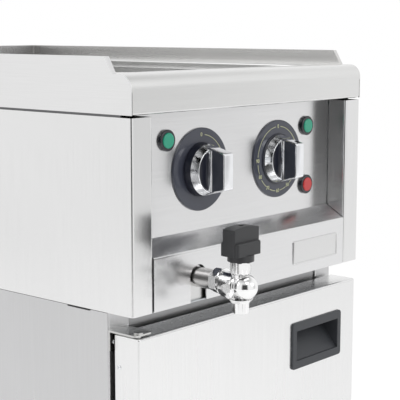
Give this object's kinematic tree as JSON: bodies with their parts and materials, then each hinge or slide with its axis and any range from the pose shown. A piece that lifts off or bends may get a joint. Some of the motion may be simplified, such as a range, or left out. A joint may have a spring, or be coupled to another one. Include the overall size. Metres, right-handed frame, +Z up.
{
  "type": "bain marie",
  "caption": "Floor-standing electric bain marie: heated well with switch, thermostat and front drain tap, on a base cabinet with a hinged door.",
  "frame": {"origin": "floor level, under the middle of the whole object's box, tap and cable gland included", "axes": "+Z up, -Y to the front where the controls and the door are, +X to the right seen from the front"},
  "size_m": [0.4, 0.7002, 0.869],
  "materials": {
    "steel_deck": "fine brushed stainless steel, grain across the front",
    "steel_panel": "brushed stainless steel panel, upright grain",
    "steel_front": "brushed stainless steel, level grain",
    "steel_inner": "mill finish stainless steel",
    "steel_cabinet": "satin stainless steel sheet",
    "steel_pressed": "polished pressed steel",
    "steel_galvanised": "galvanised sheet",
    "plated": "bright chrome plate",
    "tap_metal": "satin nickel plated brass",
    "dial_print": "slate blue printed dial with pale yellow scale",
    "black_gloss": "black gloss plastic",
    "black_plastic": "black moulded plastic",
    "lens_green": "green translucent lens",
    "lens_red": "red translucent lens",
    "plate_metal": "bare satin aluminium plate",
    "control_plastic": "moulded thermoset housing",
    "element_sheath": "heat-darkened alloy sheath",
    "copper": "drawn copper tube",
    "seat_polymer": "white seal polymer",
    "ball_brass": "machined brass",
    "soft_rubber": "soft rubber",
    "button_red": "red moulded button"
  },
  "bodies": {
    "root": {"worktop": "steel_deck", "end_plate_left": "steel_deck", "end_plate_right": "steel_deck", "rear_upstand": "steel_deck", "deck_rails": "steel_galvanised", "well_tank": "steel_inner", "side_panel_left": "steel_panel", "side_panel_right": "steel_panel", "control_fascia": "steel_front", "fascia_brackets": "steel_galvanised", "back_panel": "steel_panel", "base_tray": "steel_galvanised", "slot_patch": "steel_inner", "nameplate": "plate_metal", "switch_dial": "dial_print", "thermostat_dial": "dial_print", "pilot_bezels": "black_gloss", "pilot_lenses_green": "lens_green", "pilot_lens_red": "lens_red", "switch_body": "control_plastic", "thermostat_body": "control_plastic", "thermostat_capillary": "copper", "heating_element": "element_sheath", "limiter_body": "control_plastic", "terminal_block": "control_plastic", "cable_gland": "black_plastic", "drain_pipe": "tap_metal", "valve_nut": "tap_metal", "valve_body": "tap_metal", "valve_seat": "seat_polymer", "valve_gland": "tap_metal", "cabinet_side_left": "steel_cabinet", "cabinet_side_right": "steel_cabinet", "cabinet_back": "steel_cabinet", "cabinet_floor": "steel_cabinet", "cabinet_front_rail": "steel_cabinet", "hinge_brackets": "steel_pressed", "hinge_pins": "steel_pressed", "magnet_catch": "black_plastic", "door_bumpers": "soft_rubber", "leg_sleeves": "steel_pressed", "leg_feet": "black_plastic", "rear_screws": "plated"},
    "switch_control": {"switch_knob": "plated", "switch_knob_inserts": "black_gloss", "switch_shaft": "plated"},
    "thermostat_control": {"thermostat_knob": "plated", "thermostat_knob_inserts": "black_gloss", "thermostat_shaft": "plated"},
    "tap_lever": {"tap_handle": "black_plastic", "handle_screw": "plated", "valve_stem": "ball_brass", "valve_ball": "ball_brass"},
    "door": {"door_skin": "steel_cabinet", "door_liner": "steel_inner", "door_pull": "black_plastic", "hinge_bushes": "black_plastic", "catch_strike": "steel_pressed"},
    "lift_out_plate": {"false_bottom": "steel_inner"},
    "limiter_button": {"reset_button": "button_red"}
  },
  "joints": [
    {"name": "switch_turn", "type": "hinge", "parent": "root", "child": "switch_control", "pos_m": [-0.069, -0.24835, 0.746], "axis": [0, 1, 0], "range_deg": [0, 90]},
    {"name": "thermostat_turn", "type": "hinge", "parent": "root", "child": "thermostat_control", "pos_m": [0.0665, -0.24835, 0.746], "axis": [0, 1, 0], "range_deg": [0, 270]},
    {"name": "tap_turn", "type": "hinge", "parent": "root", "child": "tap_lever", "pos_m": [-0.1005, -0.33105, 0.6364], "axis": [0, 0, 1], "range_deg": [0, 90]},
    {"name": "door_swing", "type": "hinge", "parent": "root", "child": "door", "pos_m": [-0.1875, -0.26885, 0.3275], "axis": [0, 0, -1], "range_deg": [0, 115]},
    {"name": "plate_lift", "type": "slide", "parent": "root", "child": "lift_out_plate", "axis": [0, 0, 1], "range_m": [0, 0.16]},
    {"name": "reset_push", "type": "slide", "parent": "root", "child": "limiter_button", "axis": [0, -1, 0], "range_m": [0, 0.0025], "stiffness_N_per_m": 800}
  ]
}
